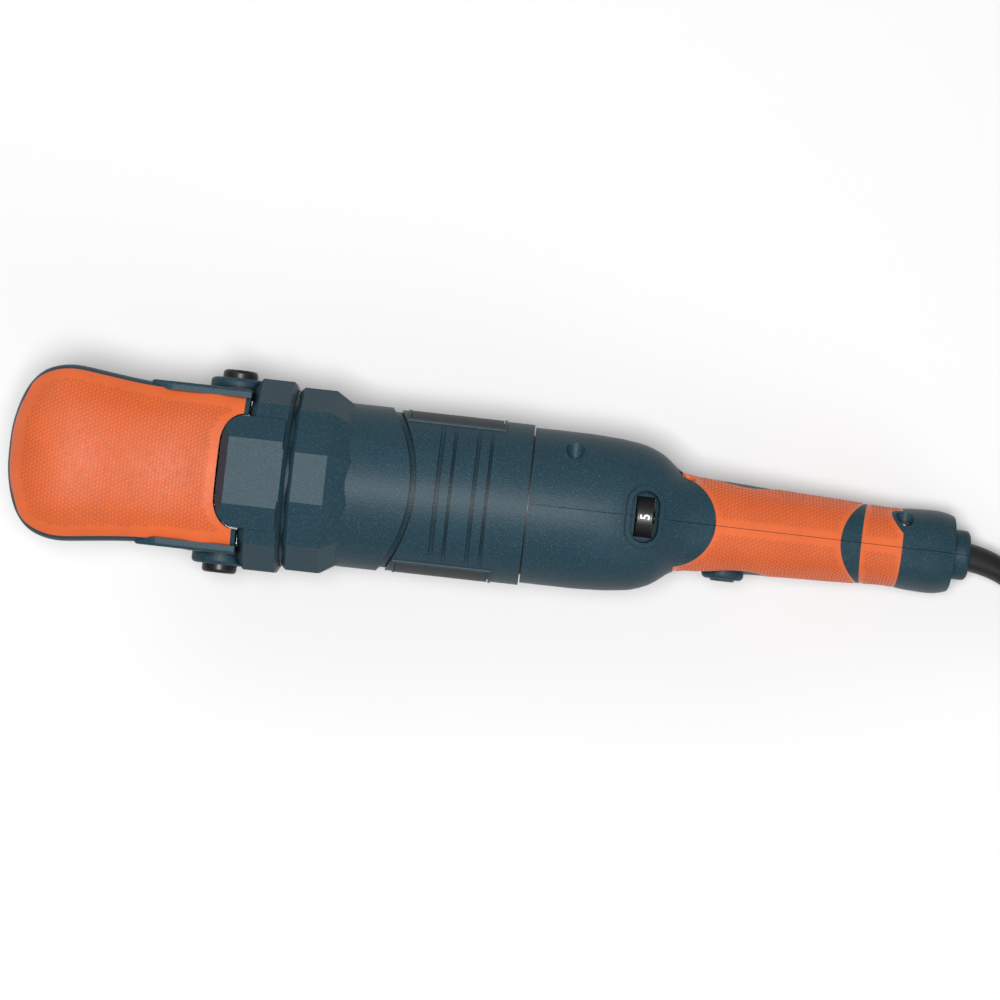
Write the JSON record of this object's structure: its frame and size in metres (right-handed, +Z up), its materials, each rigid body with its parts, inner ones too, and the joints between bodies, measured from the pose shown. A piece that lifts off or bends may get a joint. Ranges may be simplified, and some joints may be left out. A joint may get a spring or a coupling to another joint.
{
  "type": "rotary polisher",
  "caption": "Corded rotary polisher with a hood front handle, two-stage geared head with threaded spindle, speed dial, trigger and rear grip.",
  "frame": {"origin": "middle of the spindle's free end, on the surface that the tool rests on", "axes": "+X from the head towards the cord, +Z up along the spindle, +Y towards the side that the clamshell screws enter from"},
  "size_m": [0.6361, 0.136, 0.1211],
  "materials": {
    "navy_plastic": "fine-grained moulded nylon, semi-matt",
    "orange_rubber": "soft-touch overmould with a fine diamond texture",
    "black_gloss": "glossy black",
    "black_rubber": "smooth flexible PVC",
    "black_plastic": "moulded black nylon",
    "cast_aluminium": "die-cast, blasted",
    "steel": "ground and turned",
    "zinc_screw": "zinc plated",
    "black_screw": "black oxide",
    "gear_steel": "hardened and oiled",
    "laminations": "stacked electrical sheet",
    "copper": "enamelled copper wire",
    "commutator_copper": "turned copper bars",
    "brass": "stamped brass",
    "carbon": "pressed carbon",
    "bush_bronze": "sintered bronze",
    "fibre_plastic": "glass-filled moulding",
    "grey_plastic": "moulded grey plastic",
    "label_plate": "satin foil plate"
  },
  "bodies": {
    "root": {"gear_housing": "cast_aluminium", "bearing_retainer": "cast_aluminium", "retainer_screws": "zinc_screw", "gearbox_plate": "cast_aluminium", "tie_screws": "zinc_screw", "gear_cover": "navy_plastic", "hood_handle_core": "navy_plastic", "hood_handle_grip": "orange_rubber", "handle_screws": "black_gloss", "motor_housing": "navy_plastic", "side_plates": "label_plate", "stator_core": "laminations", "field_coils": "copper", "air_baffle": "black_plastic", "bearing_bracket": "fibre_plastic", "brush_holders": "brass", "carbon_brushes": "carbon", "brush_springs": "steel", "rear_housing_left": "navy_plastic", "rear_housing_right": "navy_plastic", "rear_grip_left": "orange_rubber", "rear_grip_right": "orange_rubber", "clamshell_screws": "black_screw", "speed_module": "grey_plastic", "switch_body": "black_plastic", "trigger_spring": "steel", "cord_clamp": "black_plastic", "cord_clamp_screws": "zinc_screw", "cord_guard": "black_rubber", "power_cord": "black_rubber", "cord_coil": "black_rubber", "plug_body": "black_rubber", "plug_pins": "brass", "front_bearing_outer": "steel", "rear_bearing_outer": "steel", "counter_bearing_outer": "steel", "counter_bush": "bush_bronze", "spindle_bearing_outer": "steel", "spindle_bush": "bush_bronze", "spindle_seal": "black_rubber", "spindle_lock_spring": "steel"},
    "armature": {"armature_shaft": "steel", "armature_core": "laminations", "armature_windings": "copper", "commutator": "commutator_copper", "cooling_fan": "grey_plastic", "armature_pinion": "gear_steel", "front_bearing_inner": "steel", "rear_bearing_inner": "steel"},
    "countershaft": {"countershaft": "steel", "countershaft_gear": "gear_steel", "bevel_pinion": "gear_steel", "counter_bearing_inner": "steel"},
    "spindle": {"spindle": "steel", "crown_gear": "gear_steel", "spindle_bearing_inner": "steel"},
    "speed_dial": {"speed_dial": "black_gloss"},
    "trigger": {"trigger": "black_plastic"},
    "lock_on_button": {"lock_on_button": "black_plastic"},
    "spindle_lock": {"spindle_lock_pin": "black_plastic"}
  },
  "joints": [
    {"name": "armature_spin", "type": "hinge", "parent": "root", "child": "armature", "pos_m": [0.1, 0, 0.076], "axis": [1, 0, 0], "continuous": true},
    {"name": "countershaft_spin", "type": "hinge", "parent": "root", "child": "countershaft", "pos_m": [0.04, 0, 0.056], "axis": [1, 0, 0], "continuous": true},
    {"name": "spindle_spin", "type": "hinge", "parent": "root", "child": "spindle", "pos_m": [0, 0, 0.03], "axis": [0, 0, 1], "continuous": true},
    {"name": "speed_dial_turn", "type": "hinge", "parent": "root", "child": "speed_dial", "pos_m": [0.217, 0, 0.095], "axis": [1, 0, 0], "range_deg": [-240, 60]},
    {"name": "trigger_press", "type": "hinge", "parent": "root", "child": "trigger", "pos_m": [0.25952, 0, 0.0461], "axis": [0, -1, 0], "range_deg": [0, 7], "stiffness_Nm_per_rad": 2, "springref_deg": -11.46, "deforming": ["trigger_spring"]},
    {"name": "lock_on_press", "type": "slide", "parent": "root", "child": "lock_on_button", "axis": [0, 1, 0], "range_m": [0, 0.003], "stiffness_N_per_m": 400, "springref_m": -0.002},
    {"name": "spindle_lock_press", "type": "slide", "parent": "root", "child": "spindle_lock", "axis": [1, 0, 0], "range_m": [0, 0.004], "stiffness_N_per_m": 600, "springref_m": -0.003, "deforming": ["spindle_lock_spring"]}
  ],
  "couplings": [
    {"joint": "countershaft_spin", "follows": "armature_spin", "ratio": -0.25},
    {"joint": "spindle_spin", "follows": "armature_spin", "ratio": -0.1}
  ]
}
